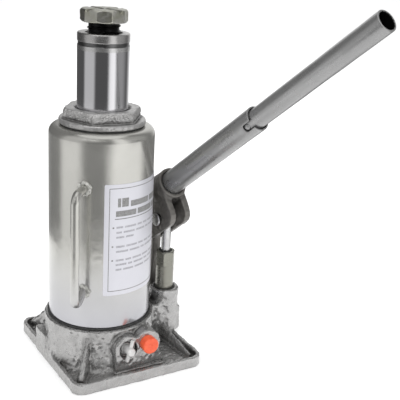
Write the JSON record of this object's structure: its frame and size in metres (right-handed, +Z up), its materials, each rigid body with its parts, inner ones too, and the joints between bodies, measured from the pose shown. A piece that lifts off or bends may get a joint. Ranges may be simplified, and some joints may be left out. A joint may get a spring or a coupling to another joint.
{
  "type": "hydraulic bottle jack",
  "caption": "Hydraulic bottle jack: cast base with side pump, silver tank, chromed ram with extension screw and saddle, carry handle, and a two-piece pump handle in a clevis socket.",
  "frame": {"origin": "on the ram axis, at the underside of the base", "axes": "+Z up along the ram, +X from the ram to the pump, -Y to the front, where the release valve is and the handle points"},
  "size_m": [0.1467, 0.256, 0.2939],
  "materials": {
    "cast_silver": "silver paint on rough casting",
    "tank_paint": "satin silver paint",
    "grey_paint": "satin grey paint",
    "ram_chrome": "hard chrome",
    "steel": "machined",
    "black_oxide": "black oxide",
    "zinc": "zinc plated",
    "copper": "soft copper washer",
    "bronze": "machined",
    "black_rubber": "matte",
    "orange_plastic": "satin",
    "label_film": "printed film",
    "seal_plastic": "matte"
  },
  "bodies": {
    "base_unit": {"base_casting": "cast_silver", "tank_bottom_gasket": "black_rubber", "reservoir_tank": "tank_paint", "tank_top_gasket": "black_rubber", "pressure_cylinder": "steel", "cylinder_seat_gasket": "copper", "tank_nut": "cast_silver", "ram_wiper": "black_rubber", "ram_guide_ring": "bronze", "carry_handle": "tank_paint", "carry_handle_welds": "tank_paint", "tank_label": "label_film", "filler_plug": "black_rubber", "suction_filter": "bronze", "pump_cylinder": "tank_paint", "pump_cylinder_gasket": "copper", "plunger_wiper": "black_rubber", "suction_spring": "steel", "delivery_spring": "steel", "delivery_valve_screw": "black_oxide", "passage_plugs": "steel", "overload_ball": "steel", "overload_spring": "steel", "overload_screw": "black_oxide", "link_base_pin": "steel"},
    "suction_ball": {"suction_ball": "steel"},
    "delivery_ball": {"delivery_ball": "steel"},
    "ram": {"ram": "ram_chrome", "ram_backup_ring": "steel", "ram_cup_seal": "black_rubber", "ram_snap_ring": "steel"},
    "screw_ring": {"screw_stop_ring": "steel"},
    "screw": {"extension_screw": "black_oxide", "saddle": "zinc"},
    "link": {"pump_link": "grey_paint", "link_top_pin": "steel", "link_pin_clip": "steel"},
    "socket": {"handle_socket": "grey_paint"},
    "plunger": {"pump_plunger": "steel", "plunger_seal": "seal_plastic", "plunger_pin": "steel", "plunger_pin_clip": "steel"},
    "lower_tube": {"lower_handle_tube": "grey_paint"},
    "upper_tube": {"upper_handle_tube": "grey_paint", "handle_latch_stud": "grey_paint"},
    "release_ball": {"release_ball": "steel"},
    "release_valve": {"release_valve": "steel", "release_cross_pin": "steel", "release_o_ring": "black_rubber"},
    "cap": {"overload_cap": "orange_plastic"}
  },
  "joints": [
    {"name": "ram_lift", "type": "slide", "parent": "base_unit", "child": "ram", "axis": [0, 0, 1], "range_m": [-0.048, 0.105]},
    {"name": "screw_travel", "type": "slide", "parent": "ram", "child": "screw_ring", "axis": [0, 0, 1], "range_m": [-0.0055, 0.066]},
    {"name": "screw_turn", "type": "hinge", "parent": "screw_ring", "child": "screw", "pos_m": [0, 0, 0.26], "axis": [0, 0, 1], "range_deg": [-496, 5945]},
    {"name": "handle_pump", "type": "hinge", "parent": "link", "child": "socket", "pos_m": [0.05667, 0.01549, 0.09479], "axis": [-0.9848, -0.1736, 0], "range_deg": [-34, 13]},
    {"name": "link_swing", "type": "hinge", "parent": "base_unit", "child": "link", "pos_m": [0.05627, 0.01773, 0.027], "axis": [-0.9848, -0.1736, 0], "range_deg": [-1.7, 4.3]},
    {"name": "plunger_stroke", "type": "slide", "parent": "base_unit", "child": "plunger", "axis": [0, 0, 1], "range_m": [-0.0091, 0.0036]},
    {"name": "handle_pull", "type": "slide", "parent": "socket", "child": "lower_tube", "axis": [0.1359, -0.7707, 0.6225], "range_m": [0, 0.04]},
    {"name": "extension_pull", "type": "slide", "parent": "lower_tube", "child": "upper_tube", "axis": [0.1359, -0.7707, 0.6225], "range_m": [0, 0.06]},
    {"name": "release_travel", "type": "slide", "parent": "base_unit", "child": "release_ball", "axis": [0, -1, 0], "range_m": [0, 0.00225]},
    {"name": "release_turn", "type": "hinge", "parent": "release_ball", "child": "release_valve", "pos_m": [0.0026, -0.052, 0.023], "axis": [0, -1, 0], "range_deg": [0, 542]},
    {"name": "cap_pull", "type": "slide", "parent": "base_unit", "child": "cap", "axis": [0, -1, 0], "range_m": [0, 0.015]},
    {"name": "suction_lift", "type": "slide", "parent": "base_unit", "child": "suction_ball", "axis": [0, 0, 1], "range_m": [0, 0.001], "stiffness_N_per_m": 60, "deforming": ["suction_spring"]},
    {"name": "delivery_lift", "type": "slide", "parent": "base_unit", "child": "delivery_ball", "axis": [0, 0, 1], "range_m": [0, 0.001], "stiffness_N_per_m": 60, "deforming": ["delivery_spring"]}
  ],
  "couplings": [
    {"joint": "link_swing", "follows": "handle_pump", "ratio": -0.1251},
    {"joint": "plunger_stroke", "follows": "handle_pump", "m_per_rad": 0.014996},
    {"joint": "screw_turn", "follows": "screw_travel", "rad_per_m": 1570.8},
    {"joint": "release_turn", "follows": "release_travel", "rad_per_m": 4188.8}
  ]
}
